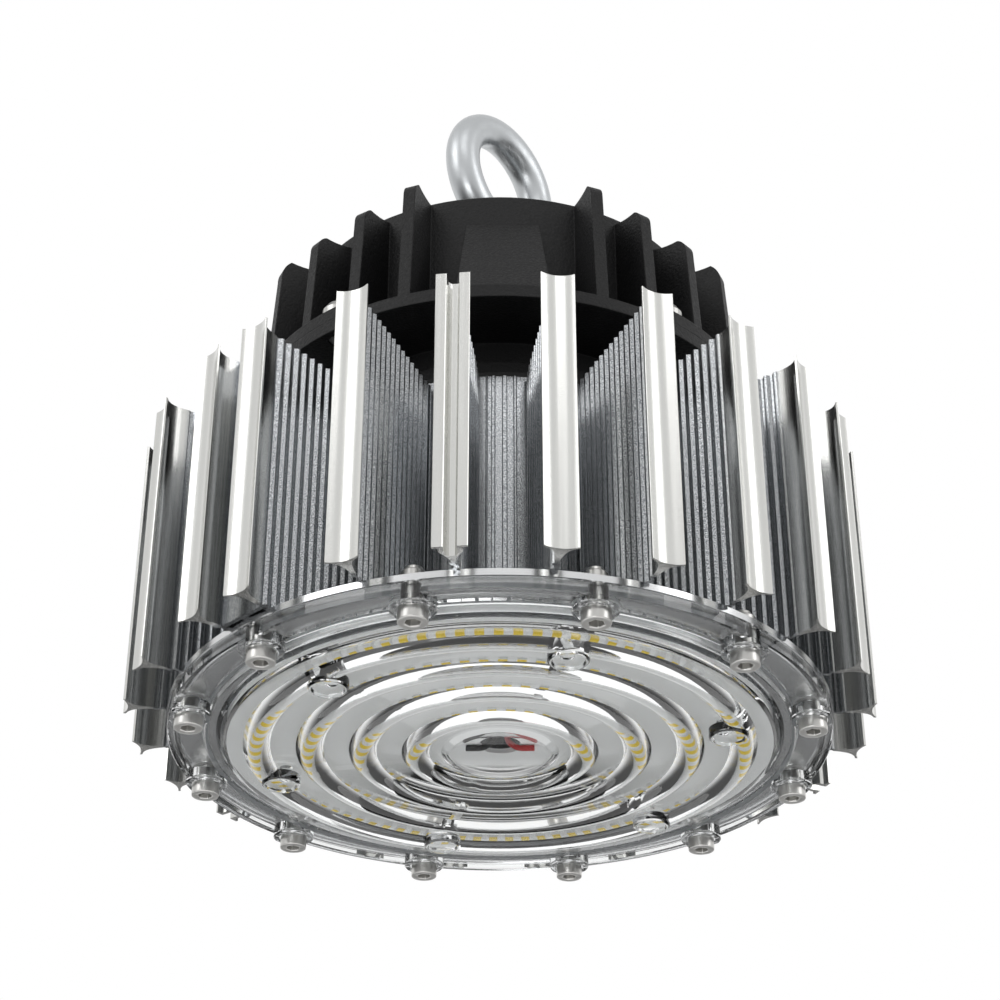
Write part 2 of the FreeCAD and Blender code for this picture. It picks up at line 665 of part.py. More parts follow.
def fin_point(angle, out, side):
    """A point of a fin: out from the light's axis along the fin, and to its side."""
    turn = math.radians(angle)
    return Vector(out * math.cos(turn) - side * math.sin(turn),
                  out * math.sin(turn) + side * math.cos(turn), 0)


def wavy_side(hand, start, end):
    """One side of a waved web as (out, side) pairs: hand is -1 or 1."""
    half = size("fin_thickness") / 2
    swing = size("fin_wave")
    steps = 2 * whole("wave_count")
    pairs = []
    for step in range(1, steps):
        shift = swing if step % 2 else -swing
        pairs.append((start + (end - start) * step / steps, hand * half + shift))
    return pairs


def plain_tip(hand):
    """Half of a plain tip, from its neck out to its corner, as (out, side) pairs."""
    corner = size("fin_tip_radius")
    half = size("fin_thickness") / 2
    neck = corner - size("neck_length")
    return [(neck, hand * half),
            (corner - 5.4, hand * (half + 0.4)),
            (corner - 2.6, hand * 0.46 * size("tip_half")),
            (corner - size("tip_edge"), hand * size("tip_half")),
            (corner, hand * size("tip_half"))]


def slotted_tip(hand):
    """Half of a tip with a screw channel, from its neck to the channel's floor."""
    corner = size("fin_tip_radius") - 0.5
    half = size("fin_thickness") / 2
    slot = size("slot_half")
    floor = corner - size("slot_depth")
    wall = slot + 1.5
    return [(size("fin_tip_radius") - size("neck_length"), hand * half),
            (floor - 1.2, hand * (half + 0.5)),
            (corner - 2.9, hand * wall),
            (corner - 0.9, hand * wall),
            (corner - 0.9, hand * size("tip_half")),
            (corner, hand * size("tip_half")),
            (corner, hand * slot),
            (floor + slot * 0.8, hand * slot),
            (floor, hand * slot * 0.45)]


def fin_half(kind, hand, waved):
    """One half of a fin as (out, side) pairs, from the tube out to the middle of its tip."""
    root_half = size("fin_thickness") / 2
    core = size("core_radius")
    side = root_half if waved else root_half + size("fin_wave")
    root = math.sqrt(core ** 2 - side ** 2)
    neck = size("fin_tip_radius") - size("neck_length")
    tip = slotted_tip(hand) if kind == "slotted" else plain_tip(hand)
    if waved:
        return [(root, hand * side)] + wavy_side(hand, root, neck) + tip
    return [(root, hand * side), (neck, hand * side)] + tip[1:]


def fin_edges(kind, angle, waves=(True, True)):
    """A fin's outline as edges, from its right-hand root round its tip to the left."""
    right = [fin_point(angle, *pair) for pair in fin_half(kind, -1, waves[0])]
    left = [fin_point(angle, *pair) for pair in fin_half(kind, 1, waves[1])]
    left.reverse()
    edges = [Part.LineSegment(a, b).toShape() for a, b in zip(right, right[1:])]
    if kind == "slotted":
        edges.append(Part.LineSegment(right[-1], left[0]).toShape())
    else:
        hollow = fin_point(angle, size("fin_tip_radius") - size("tip_hollow"), 0)
        edges.append(Part.Arc(right[-1], hollow, left[0]).toShape())
    edges += [Part.LineSegment(a, b).toShape() for a, b in zip(left, left[1:])]
    return edges, right[0], left[-1]


def core_arc(start, end):
    """The stretch of the tube's outside from one point to the next, turning left."""
    first = math.atan2(start.y, start.x)
    last = math.atan2(end.y, end.x)
    if last < first:
        last += 2 * math.pi
    radius = size("core_radius")
    middle = polar(radius, math.degrees((first + last) / 2))
    return Part.Arc(start, middle, end).toShape()


def pad_fins():
    """The pad's two fins with their flat wall, joined into one stretch of outline."""
    middle = size("pad_turn")
    spread = size("pad_spread")
    first, root, inner_right = fin_edges("plain", middle - spread, (True, False))
    second, inner_left, end = fin_edges("plain", middle + spread, (False, True))
    face = size("pad_face")
    side = size("fin_thickness") / 2 + size("fin_wave")
    turn = math.radians(spread)
    # where the inner side of each fin crosses the wall's outer and inner faces
    crossing = []
    for out in (face, face - size("pad_wall")):
        along = (out - side * math.sin(turn)) / math.cos(turn)
        crossing.append((fin_point(middle - spread, along, side),
                         fin_point(middle + spread, along, -side)))
    (wall_a, wall_b), (cell_a, cell_b) = crossing
    outer = first[:-1] + [Part.LineSegment(first[-1].Vertexes[0].Point, wall_a).toShape(),
                          Part.LineSegment(wall_a, wall_b).toShape(),
                          Part.LineSegment(wall_b, second[0].Vertexes[-1].Point).toShape()]
    outer += second[1:]
    cell = Part.Wire([core_arc(inner_right, inner_left),
                      Part.LineSegment(inner_left, cell_b).toShape(),
                      Part.LineSegment(cell_b, cell_a).toShape(),
                      Part.LineSegment(cell_a, inner_right).toShape()])
    slots = []
    slot_out = face - size("pad_wall") / 2
    for hand in (-1, 1):
        ends = [(slot_out + up * size("pad_slot_wide") / 2,
                 hand * size("pad_slot_shift") + along * size("pad_slot_long") / 2)
                for up, along in ((-1, -1), (1, -1), (1, 1), (-1, 1))]
        slots.append(Part.makePolygon([fin_point(middle, *pair) for pair in ends + ends[:1]]))
    return outer, root, end, [cell] + slots


def sink_bore():
    """The tube's bore with its screw ports, as a face to cut out."""
    inner = size("core_radius") - size("core_wall")
    bore = Part.Face(Part.Wire(Part.makeCircle(inner)))
    ports = []
    for step in range(whole("port_count")):
        centre = polar(size("port_circle"), 360.0 * step / whole("port_count"))
        ports.append(Part.Face(Part.Wire(Part.makeCircle(size("port_radius"), centre))))
    return bore.cut(Part.makeCompound(ports))


def make_heat_sink():
    """The extruded heat sink: tube, waved fins, slotted tips, flat pad and screw ports."""
    count = whole("fin_count")
    pitch = 360.0 / count
    slotted = [size("slotted_turn") + 360.0 * step / whole("slotted_count")
               for step in range(whole("slotted_count"))]
    stretches = []
    for step in range(count):
        angle = pitch * (step + 0.5)
        from_pad = (angle - size("pad_turn") + 180) % 360 - 180
        if abs(from_pad) < pitch:
            continue
        is_slotted = any(abs((angle - other + 180) % 360 - 180) < pitch / 4 for other in slotted)
        stretches.append((angle, fin_edges("slotted" if is_slotted else "plain", angle)))
    outer, root, end, holes = pad_fins()
    stretches.append((size("pad_turn") % 360, (outer, root, end)))
    stretches.sort(key=lambda item: item[0])
    edges = []
    for place, (_, (own, _, end)) in enumerate(stretches):
        following = stretches[(place + 1) % len(stretches)][1][1]
        edges += own
        edges.append(core_arc(end, following))
    outline = Part.makeFace([Part.Wire(edges)] + holes, "Part::FaceMakerBullseye")
    section = outline.cut(sink_bore())
    for step in range(whole("port_count")):
        centre = polar(size("port_circle"), 360.0 * step / whole("port_count"))
        bore = Part.makeCircle(size("port_screw + thread_gap"), centre)
        section = section.cut(Part.Face(Part.Wire(bore)))
    solid = section.Faces[0].extrude(Vector(0, 0, size("fin_height")))
    solid.translate(Vector(0, 0, size("base_top")))
    keep(from_code("heat_sink", solid))


# ---------------------------------------------------------------- driver base and housing

def make_driver_base():
    """The cast base under the housing: a foot on the heat sink, a neck and a wide plate."""
    body = new_body("driver_base")
    foot_top = "foot_bottom + foot_thickness"
    groove = f"{INNER_WALL} + (wall_thickness - seal_width) / 2"
    revolve(body, "base_casting",
            [("neck_bore", "foot_bottom"), ("core_radius", "foot_bottom"),
             ("core_radius", foot_top), ("neck_radius", foot_top),
             ("neck_radius", "flange_bottom"), ("flange_radius", "flange_bottom"),
             ("flange_radius", "flange_top"),
             (f"{groove} + seal_width", "flange_top"),
             (f"{groove} + seal_width", "flange_top - seal_depth"),
             (groove, "flange_top - seal_depth"), (groove, "flange_top"),
             ("neck_bore", "flange_top")])
    port = new_sketch(body, "port_hole_circle", height="foot_bottom")
    draw_circle(port, "port_screw + screw_gap", "port_circle")
    ring_of(body, "port_holes",
            [pocket(body, "port_hole", port, "flange_top - foot_bottom", upwards=True)],
            "port_count")
    for name, turn in (("right", "-90 + ear_screw_turn"), ("left", "-90 - ear_screw_turn")):
        ear = new_sketch(body, f"ear_hole_{name}_circle", height="flange_bottom")
        draw_circle(ear, "ear_screw + thread_gap", f"ear_screw_circle * cos({turn})",
                    f"ear_screw_circle * sin({turn})")
        hole = pocket(body, f"ear_hole_{name}", ear, "flange_thickness", upwards=True)
        ring_of(body, f"ear_holes_{name}", [hole], "2")
    keep(body)


def make_port_screws():
    """Pan head screws that hold the driver base to the heat sink's ports."""
    length = "flange_top - foot_bottom + foot_seal + 5 * port_screw"
    turned_ring("port_screws", "port_circle", "0", "port_count",
                [("0", f"flange_top - ({length})"),
                 ("port_screw", f"flange_top - ({length})"), ("port_screw", "flange_top"),
                 ("pan_radius", "flange_top"), ("pan_radius", "flange_top + pan_height / 2"),
                 ("pan_radius - 1", "flange_top + pan_height"),
                 ("0", "flange_top + pan_height")])


def make_ear_screws():
    """Pan head screws through the housing's ears into the driver base."""
    body = new_body("ear_screws")
    seat = EAR_TOP
    tip = "flange_bottom + 0.5"
    circle = "ear_screw_circle"
    outline = [(circle, tip), (f"{circle} + ear_screw", tip), (f"{circle} + ear_screw", seat),
               (f"{circle} + ear_head_radius", seat),
               (f"{circle} + ear_head_radius", f"{seat} + ear_head_height / 2"),
               (f"{circle} + ear_head_radius - 1.4", f"{seat} + ear_head_height"),
               (circle, f"{seat} + ear_head_height")]
    one = revolve(body, "ear_screw", outline, turn="-90 + ear_screw_turn", axis_shift=circle)
    one_across = revolve(body, "ear_screw_across", outline, turn="-90 - ear_screw_turn",
                         axis_shift=circle)
    ring_of(body, "ear_screw_pairs", [one, one_across], "2")
    keep(body)


def add_rib(body, number, side, sign):
    """One cast rib of the housing, standing on the driver base's plate."""
    top = f"(roof_outer - rib_drop_{number})"
    corner = f"rib_corner_{number}"
    rib = new_sketch(body, f"rib_{number}_{side}_outline", "XZ_Plane",
                     turn=f"-90 {sign} rib_turn_{number}")
    foot = "flange_radius - 0.3"
    edge_top = f"{foot} - rib_lean * ({top} - {corner} - flange_top) / 38"
    inner = "wall_radius - 0.7 * roof_chamfer"
    draw(rib, [(inner, "flange_top"), (foot, "flange_top"),
               (edge_top, f"{top} - {corner}"),
               ("rib_peak", top, f"{corner} * 1.2", 1),
               (inner, f"roof_outer - rib_root_{number}", "rib_hollow", -1)])
    return pad(body, f"rib_{number}_{side}", rib, "rib_thickness", midplane=True)


def make_driver_housing():
    """The black cast housing: wall, roof with the eye boss, ears, ribs and front pad."""
    body = new_body("driver_housing")
    bore = "shank_radius + screw_gap"
    revolve(body, "housing_shell",
            [(INNER_WALL, "flange_top"), ("wall_radius", "flange_top"),
             ("wall_radius", "rim_height"),
             ("wall_radius - roof_chamfer", "roof_outer"),
             ("eye_boss_radius + eye_boss_flare", "roof_outer"),
             ("eye_boss_radius", "boss_top"), (bore, "boss_top"), (bore, "roof_inner"),
             (f"{INNER_WALL} - 1", "roof_inner"), (INNER_WALL, "roof_inner - 1")])
    copies = []
    for number in (1, 2, 3, 4):
        copies.append(add_rib(body, number, "right", "+"))
        copies.append(add_rib(body, number, "left", "-"))
    ear = new_sketch(body, "ear_outline", height="flange_top")
    half = "90 - ear_turn"
    root = "(wall_radius - 1)"
    draw(ear, [(f"{root} * cos({half})", f"-{root} * sin({half})", root, -1),
               (f"flange_radius * cos({half})", f"-flange_radius * sin({half})"),
               (f"flange_radius * cos({half})", f"flange_radius * sin({half})",
                "flange_radius", 1),
               (f"{root} * cos({half})", f"{root} * sin({half})")])
    copies.append(pad(body, "ear", ear, "flange_thickness"))
    for name, turn in (("front", "ear_screw_turn - 90"), ("back", "90 - ear_screw_turn")):
        hole = new_sketch(body, f"ear_clear_{name}_circle", height="flange_top")
        draw_circle(hole, "ear_screw + screw_gap", f"ear_screw_circle * cos({turn})",
                    f"ear_screw_circle * sin({turn})")
        copies.append(pocket(body, f"ear_clear_{name}", hole, "flange_thickness", upwards=True))
    ring_of(body, "ribs_and_ears", copies, "2")

    foot = new_sketch(body, "front_pad_foot", height="flange_top")
    draw(foot, [("-pad_half_foot", "-flange_radius + 1.2"),
                ("pad_half_foot", "-flange_radius + 1.2"),
                ("pad_half_foot", "-wall_radius + 2"), ("-pad_half_foot", "-wall_radius + 2")])
    top = new_sketch(body, "front_pad_top", height="pad_top")
    draw(top, [("-pad_half_top", "-wall_radius - pad_proud + 1"),
               ("pad_half_top", "-wall_radius - pad_proud + 1"),
               ("pad_half_top", "-wall_radius + 2"), ("-pad_half_top", "-wall_radius + 2")])
    loft = body.newObject("PartDesign::AdditiveLoft", "front_pad")
    loft.Profile = foot
    loft.Sections = [top]
    loft.Ruled = True
    body.Tip = loft
    gland = new_sketch(body, "gland_hole_circle", height="roof_inner - 1")
    draw_circle(gland, "gland_stem + screw_gap / 3", "gland_circle * cos(gland_turn)",
                "gland_circle * sin(gland_turn)")
    body.Tip = pocket(body, "gland_hole", gland, "roof_thickness + 2", upwards=True)
    keep(body)


# ---------------------------------------------------------------- lifting eye

def make_eye_bolt():
    """The forged eye: ring, tapered neck, collar and M12 shank, as one piece."""
    ring = Part.makeTorus(size("eye_ring"), size("eye_rod"), Vector(), Vector(0, 1, 0))
    ring.translate(Vector(0, 0, size("eye_height")))
    collar = size("collar_bottom")
    neck_top = size("eye_height - eye_ring")
    profile = Part.makePolygon([
        Vector(0, 0, size("shank_bottom")),
        Vector(size("shank_radius") - 1, 0, size("shank_bottom")),
        Vector(size("shank_radius"), 0, size("shank_bottom") + 1),
        Vector(size("shank_radius"), 0, collar),
        Vector(size("collar_radius"), 0, collar),
        Vector(size("collar_radius"), 0, collar + size("collar_height") - 2),
        Vector(size("eye_rod") + 4, 0, collar + size("collar_height")),
        Vector(size("eye_rod"), 0, neck_top),
        Vector(0, 0, neck_top),
        Vector(0, 0, size("shank_bottom"))])
    stem = Part.Face(Part.Wire(profile.Edges)).revolve(Vector(), Z_UP, 360)
    eye = ring.fuse(stem).removeSplitter()
    eye.rotate(Vector(), Z_UP, size("eye_turn"))
    keep(from_code("eye_bolt", eye.Solids[0]))


def make_eye_fasteners():
    """Sealing washer above the roof's boss; plain washer and nut below it."""
    hole = "shank_radius + screw_gap"
    make_seal_ring("eye_seal", hole, "boss_top", "eye_seal_height", "washer_radius - shank_radius")
    make_seal_ring("eye_washer", hole, "roof_inner - washer_height", "washer_height",
                   "washer_radius - shank_radius")
    body = new_body("eye_nut")
    outline = new_sketch(body, "nut_outline",
                         height="roof_inner - washer_height - eye_nut_height")
    draw(outline, hexagon("eye_nut_flats"))
    draw_circle(outline, "shank_radius + thread_gap")
    pad(body, "nut", outline, "eye_nut_height")
    keep(body)


# ---------------------------------------------------------------- cable gland

def at_gland(body):
    """Place a body, made on the axis, at the cable gland."""
    body.setExpression("Placement.Base.x", bound("gland_circle * cos(gland_turn)"))
    body.setExpression("Placement.Base.y", bound("gland_circle * sin(gland_turn)"))
    keep(body)


def make_gland():
    """The cable gland: body, rubber insert, dome nut and lock nut."""
    stem_bottom = "roof_inner - locknut_height - 1"
    flange_top = "roof_outer + gland_flange"
    thread_top = f"{flange_top} + gland_rise * 0.6"
    body = new_body("gland_body")
    outline = new_sketch(body, "gland_hexagon", height="roof_outer")
    draw(outline, hexagon("gland_flats"))
    pad(body, "gland_flange_pad", outline, "gland_flange")
    revolve(body, "gland_tube",
            [("gland_stem - 2.5", stem_bottom), ("gland_stem", stem_bottom),
             ("gland_stem", thread_top), ("gland_stem - 2.5", thread_top)])
    bore = new_sketch(body, "gland_bore_circle", height=stem_bottom)
    draw_circle(bore, "gland_stem - 2.5")
    body.Tip = pocket(body, "gland_through", bore, "gland_flange + gland_rise + roof_thickness * 2",
                      upwards=True)
    at_gland(body)

    insert = new_body("gland_insert")
    revolve(insert, "insert_sleeve",
            [("gland_bore", f"{flange_top} - 2"), ("gland_stem - 2.5", f"{flange_top} - 2"),
             ("gland_stem - 2.5", f"{thread_top} + 0.1"), ("gland_stem - 2.5", thread_top),
             ("gland_stem - 3", f"{thread_top} + 2.2"), ("gland_bore", f"{thread_top} + 2.2")])
    at_gland(insert)

    cap = new_body("gland_cap")
    wide = "gland_flats / 2"
    cap_top = f"{flange_top} + 0.4 + gland_rise"
    revolve(cap, "cap_shell",
            [("gland_stem + thread_gap", f"{flange_top} + 0.4"), (wide, f"{flange_top} + 0.4"),
             (wide, f"{flange_top} + 0.4 + gland_rise * 0.6"),
             ("gland_stem - 0.6", cap_top), ("gland_mouth", cap_top),
             ("gland_mouth", f"{thread_top} + 2.6"),
             ("gland_stem + thread_gap", f"{thread_top} + 0.5")])
    at_gland(cap)

    nut = new_body("gland_locknut")
    nut_outline = new_sketch(nut, "locknut_hexagon", height="roof_inner - locknut_height")
    draw(nut_outline, hexagon("gland_flats"))
    draw_circle(nut_outline, "gland_stem + thread_gap")
    pad(nut, "locknut", nut_outline, "locknut_height")
    at_gland(nut)


# ---------------------------------------------------------------- driver

def make_driver_board():
    """The driver's circuit board on its spacers, with the screws that hold it."""
    body = new_body("driver_board")
    outline = new_sketch(body, "driver_outline", height="driver_bottom")
    draw_circle(outline, "driver_radius")
    draw_circle(outline, "wire_apart + 3 * wire_radius")
    pad(body, "driver_plate", outline, "driver_board_thickness")
    hole = new_sketch(body, "driver_hole_circle", height="driver_bottom")
    draw_circle(hole, "driver_screw + screw_gap", "standoff_circle * cos(standoff_turn)",
                "standoff_circle * sin(standoff_turn)")
    ring_of(body, "driver_holes",
            [pocket(body, "driver_hole", hole, "driver_board_thickness", upwards=True)], "4")
    keep(body)
    turned_ring("driver_spacers", "standoff_circle", "standoff_turn", "4",
                [("driver_screw + thread_gap", "flange_top"), ("standoff_radius", "flange_top"),
                 ("standoff_radius", "driver_bottom"),
                 ("driver_screw + thread_gap", "driver_bottom")])
    tip = "driver_bottom - standoff_height * 0.7"
    turned_ring("driver_screws", "standoff_circle", "standoff_turn", "4",
                [("0", tip), ("driver_screw", tip), ("driver_screw", "driver_top"),
                 ("2 * driver_screw", "driver_top"), ("2 * driver_screw", "driver_top + 1"),
                 ("driver_screw", "driver_top + 2"), ("0", "driver_top + 2")])


def make_driver_parts():
    """The large parts on the driver's circuit board."""
    keep(plain("transformer", "Part::Box", {"Length": "30", "Width": "26", "Height": "24"},
               ("-45", "-13", "driver_top")))
    keep(plain("filter_capacitor", "Part::Box", {"Length": "18", "Width": "9", "Height": "15"},
               ("14", "-38", "driver_top")))
    keep(plain("terminal_block", "Part::Box", {"Length": "20", "Width": "11", "Height": "13"},
               ("-2", "38", "driver_top")))
    for label, across, up in (("bulk_capacitor", "36", "10"), ("output_capacitor", "34", "-14")):
        keep(plain(label, "Part::Cylinder", {"Radius": "8", "Height": "26"},
                   (across, up, "driver_top")))
    core = plain("choke_core", "Part::Cylinder", {"Radius": "13", "Height": "9"},
                 ("-14", "-38", "driver_top"))
    hole = plain("choke_hole", "Part::Cylinder", {"Radius": "5", "Height": "11"},
                 ("-14", "-38", "driver_top - 1"))
    choke = doc.addObject("Part::Cut", "choke")
    choke.Base = core
    choke.Tool = hole
    keep(choke)


def wire_shape(hand):
    """One lead: down through the grommet, then bent out flat under the LED board."""
    apart = size("wire_apart")
    radius = size("wire_radius")
    bend = size("wire_bend")
    flat = size(BOARD_BOTTOM) - radius - 0.1
    top = size("driver_bottom")
    turn = size("wire_turn") + (0 if hand > 0 else 180)
    corner = apart + bend
    slant = bend * math.sqrt(0.5)
    path = Part.Wire([
        Part.LineSegment(polar(apart, turn, top), polar(apart, turn, flat + bend)).toShape(),
        Part.Arc(polar(apart, turn, flat + bend),
                 polar(corner - slant, turn, flat + bend - slant),
                 polar(corner, turn, flat)).toShape(),
        Part.LineSegment(polar(corner, turn, flat),
                         polar(size("wire_reach"), turn, flat)).toShape()])
    circle = Part.makeCircle(radius, polar(apart, turn, top), Z_UP)
    return path.makePipeShell([Part.Wire(circle)], True, True)


def make_wires():
    """The red and the black lead from the driver to the LED board."""
    keep(from_code("wire_red", wire_shape(1)))
    keep(from_code("wire_black", wire_shape(-1)))


# ---------------------------------------------------------------- build

make_lens()
make_seal_ring("lens_seal", "seal_radius", "lens_flange_top - seal_depth", "seal_depth")
socket_screws("lens_screws", "lens_screw_circle", "lens_screw_turn", "lens_screw_count", "0",
              "screw_head_radius", "screw_head_height", "screw_radius", "screw_length",
              "socket_flats", "socket_depth")
make_lens_nuts()
make_base_plate()
make_base_plate_screws()
make_grommet()
make_led_board()
make_leds()
make_heat_sink()
make_seal_ring("foot_gasket", "core_radius - core_wall", "sink_top", "foot_seal", "core_wall")
make_driver_base()
make_port_screws()
make_seal_ring("housing_seal", f"{INNER_WALL} + (wall_thickness - seal_width) / 2",
               "flange_top - seal_depth", "seal_depth")
make_driver_housing()
make_ear_screws()
make_eye_bolt()
make_eye_fasteners()
make_gland()
make_driver_board()
make_driver_parts()
make_wires()

doc.recompute()
for item in doc.Objects:
    if "Invalid" in item.State or "Error" in item.State:
        raise RuntimeError(f"{item.Label} failed: {item.State}")
for item in PARTS:
    if item.Shape.isNull() or not item.Shape.isValid() or not item.Shape.Solids:
        raise RuntimeError(f"{item.Label} has no valid solid")

os.makedirs("parts", exist_ok=True)
for item in PARTS:
    item.Shape.exportStep(f"parts/{item.Label}.step")
    box = item.Shape.BoundBox
    print(f"{item.Label:20s} solids {len(item.Shape.Solids):3d} volume {item.Shape.Volume:10.1f}"
          f"  z {box.ZMin:7.2f} to {box.ZMax:7.2f}")
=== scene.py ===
"""The looks of the high bay light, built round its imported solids. Metres; drawing sizes in mm."""
import json
import math

import bpy
from mathutils import Matrix, Vector


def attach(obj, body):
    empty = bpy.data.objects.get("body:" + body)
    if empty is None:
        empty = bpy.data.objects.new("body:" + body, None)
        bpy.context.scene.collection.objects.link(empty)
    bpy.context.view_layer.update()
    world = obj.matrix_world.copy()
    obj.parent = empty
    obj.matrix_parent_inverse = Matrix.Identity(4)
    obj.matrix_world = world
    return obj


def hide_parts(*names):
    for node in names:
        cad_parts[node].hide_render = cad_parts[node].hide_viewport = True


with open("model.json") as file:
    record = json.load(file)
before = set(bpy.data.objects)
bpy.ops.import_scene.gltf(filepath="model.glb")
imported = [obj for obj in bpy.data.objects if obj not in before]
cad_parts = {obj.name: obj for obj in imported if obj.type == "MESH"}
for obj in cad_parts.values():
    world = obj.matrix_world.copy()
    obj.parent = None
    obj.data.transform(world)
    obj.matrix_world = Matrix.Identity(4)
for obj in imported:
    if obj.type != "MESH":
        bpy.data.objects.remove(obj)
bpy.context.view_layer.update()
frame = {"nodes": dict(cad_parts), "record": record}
NODES = frame["nodes"]
MM = 0.001


# ---------------------------------------------------------------- materials

def linear(code):
    """A hex sRGB colour as linear red, green, blue and alpha."""
    channels = [int(code[place:place + 2], 16) / 255 for place in (1, 3, 5)]
    straight = [c / 12.92 if c <= 0.04045 else ((c + 0.055) / 1.055) ** 2.4 for c in channels]
    return (*straight, 1.0)


def add_node(tree, kind, settings=None, **links):
    """A shader node with its settings; links name its inputs, each a value or a socket."""
    item = tree.nodes.new(kind)
    for name, value in (settings or {}).items():
        setattr(item, name, value)
    for name, value in links.items():
        key = int(name[3:]) if name.startswith("in_") else name.replace("_", " ")
        socket = item.inputs[key]
        if isinstance(value, bpy.types.NodeSocket):
            tree.links.new(value, socket)
        else:
            socket.default_value = value
    return item


def new_material(name, colour, roughness, metallic=0.0, **more):
    """A material named for what it is, with its shader node and tree."""
    material = bpy.data.materials.new(name)
    material.use_nodes = True
    tree = material.node_tree
    tree.nodes.clear()
    shader = add_node(tree, "ShaderNodeBsdfPrincipled")
    shader.inputs["Base Color"].default_value = linear(colour)
    shader.inputs["Roughness"].default_value = roughness
    shader.inputs["Metallic"].default_value = metallic
    for key, value in more.items():
        shader.inputs[key.replace("_", " ")].default_value = value
    add_node(tree, "ShaderNodeOutputMaterial", Surface=shader.outputs[0])
    return material, tree, shader


def place_of(tree, stretch=(1.0, 1.0, 1.0)):
    """Object coordinates, stretched along an axis for drawn or brushed lines."""
    where = add_node(tree, "ShaderNodeTexCoord")
    scaled = add_node(tree, "ShaderNodeMapping", Vector=where.outputs["Object"], Scale=stretch)
    return scaled.outputs[0]


def grain(tree, place, size_mm, detail=3.0, roughness=0.5):
    """Noise whose grains are about size_mm across."""
    return add_node(tree, "ShaderNodeTexNoise", Vector=place, Scale=1.0 / (size_mm * MM),
                    Detail=detail, Roughness=roughness).outputs[0]


def between(tree, value, low, high, start=0.3, end=0.7):
    """A noise value spread from low to high."""
    return add_node(tree, "ShaderNodeMapRange", in_0=value, in_1=start, in_2=end,
                    in_3=low, in_4=high).outputs[0]


def bump(tree, shader, height, depth_mm, strength=1.0, edge_mm=0.0):
    """A raised pattern on a shader, over edges rounded by edge_mm."""
    raised = add_node(tree, "ShaderNodeBump", Height=height, Strength=strength,
                      Distance=depth_mm * MM)
    if edge_mm:
        edge = add_node(tree, "ShaderNodeBevel", {"samples": 4}, Radius=edge_mm * MM)
        tree.links.new(edge.outputs[0], raised.inputs["Normal"])
    tree.links.new(raised.outputs[0], shader.inputs["Normal"])


def extruded_aluminium():
    """Clear anodised extrusion: bright brushed fin tips with faint die lines. Between the fins the
    metal is
    speckled and painted darker: painted shade for the shade and dark reflections between the fins."""
    # Both speckle colours are darker than the brushed tips as painted shade between the fins; the
    # speckle between them is the metal's grain.
    brushed, speckle_dark_and_painted_shade, speckle_light_and_painted_shade = "#DCDCD9", "#8A8D90", "#BEC0C2"
    tip_start, tip_end = 104.0 * MM, 106.5 * MM
    material, tree, shader = new_material("extruded_aluminium", brushed, 0.2, 1.0)
    lines = grain(tree, place_of(tree, (1.0, 1.0, 0.015)), 0.7, 3.0)
    etch = grain(tree, place_of(tree), 0.32, 2.0)
    outward = add_node(tree, "ShaderNodeVectorMath", {"operation": "LENGTH"},
                       in_0=place_of(tree, (1.0, 1.0, 0.0)))
    # Mask: 0 between the fins, where the painted shade lies, rising to 1 on the fin tips.
    tip = add_node(tree, "ShaderNodeMapRange", {"interpolation_type": "SMOOTHSTEP"},
                   in_0=outward.outputs["Value"], in_1=tip_start, in_2=tip_end,
                   in_3=0.0, in_4=1.0).outputs[0]
    speckle_and_painted_shade = add_node(tree, "ShaderNodeMix", {"data_type": "RGBA"},
                       in_0=between(tree, etch, 0.0, 1.0, 0.4, 0.62),
                       in_6=linear(speckle_dark_and_painted_shade), in_7=linear(speckle_light_and_painted_shade))
    # Painted shade between the fins, the brushed colour on the tips.
    colour = add_node(tree, "ShaderNodeMix", {"data_type": "RGBA"}, in_0=tip,
                      in_6=speckle_and_painted_shade.outputs[2], in_7=linear(brushed))
    tree.links.new(colour.outputs[2], shader.inputs["Base Color"])
    tree.links.new(between(tree, lines, 0.17, 0.27), shader.inputs["Roughness"])
    mixed = add_node(tree, "ShaderNodeMath", {"operation": "MULTIPLY_ADD"},
                     in_0=etch, in_1=1.2, in_2=lines)
    bump(tree, shader, mixed.outputs[0], 0.02, 0.6)
    return material


def turned_aluminium():
    """Bright turned plate: its edge is the thin shiny line above the lens."""
    return new_material("turned_aluminium", "#E2E3E4", 0.18, 1.0)[0]


def black_casting():
    """Casting with fine textured black powder coat: matt, its grain catching the light."""
    material, tree, shader = new_material("textured_powder_coat", "#060607", 0.5,
                                          Specular_IOR_Level=0.3)
    pits = grain(tree, place_of(tree), 0.8, 3.0, 0.6)
    tree.links.new(between(tree, pits, 0.42, 0.62), shader.inputs["Roughness"])
    bump(tree, shader, pits, 0.3, 0.7, 0.6)
    return material


def stainless_steel():
    """Turned and cold-headed stainless steel: satin, a little duller than the plate."""
    return new_material("stainless_steel", "#C9C8C5", 0.32, 1.0)[0]


def forged_steel():
    """Forged and zinc plated steel: satin, with a soft uneven skin."""
    material, tree, shader = new_material("zinc_plated_forging", "#C3C6C8", 0.36, 1.0)
    skin = grain(tree, place_of(tree), 4.0, 3.0)
    tree.links.new(between(tree, skin, 0.3, 0.44), shader.inputs["Roughness"])
    bump(tree, shader, skin, 0.12, 0.4)
    return material


def clear_polycarbonate():
    """Moulded clear polycarbonate: bends what lies behind it and shines on its ridges."""
    return new_material("clear_polycarbonate", "#FBFCFC", 0.03, Transmission_Weight=1.0,
                        IOR=1.585)[0]


def plain_material(name, colour, roughness):
    """A moulded or coated material with an even surface."""
    return new_material(name, colour, roughness)[0]


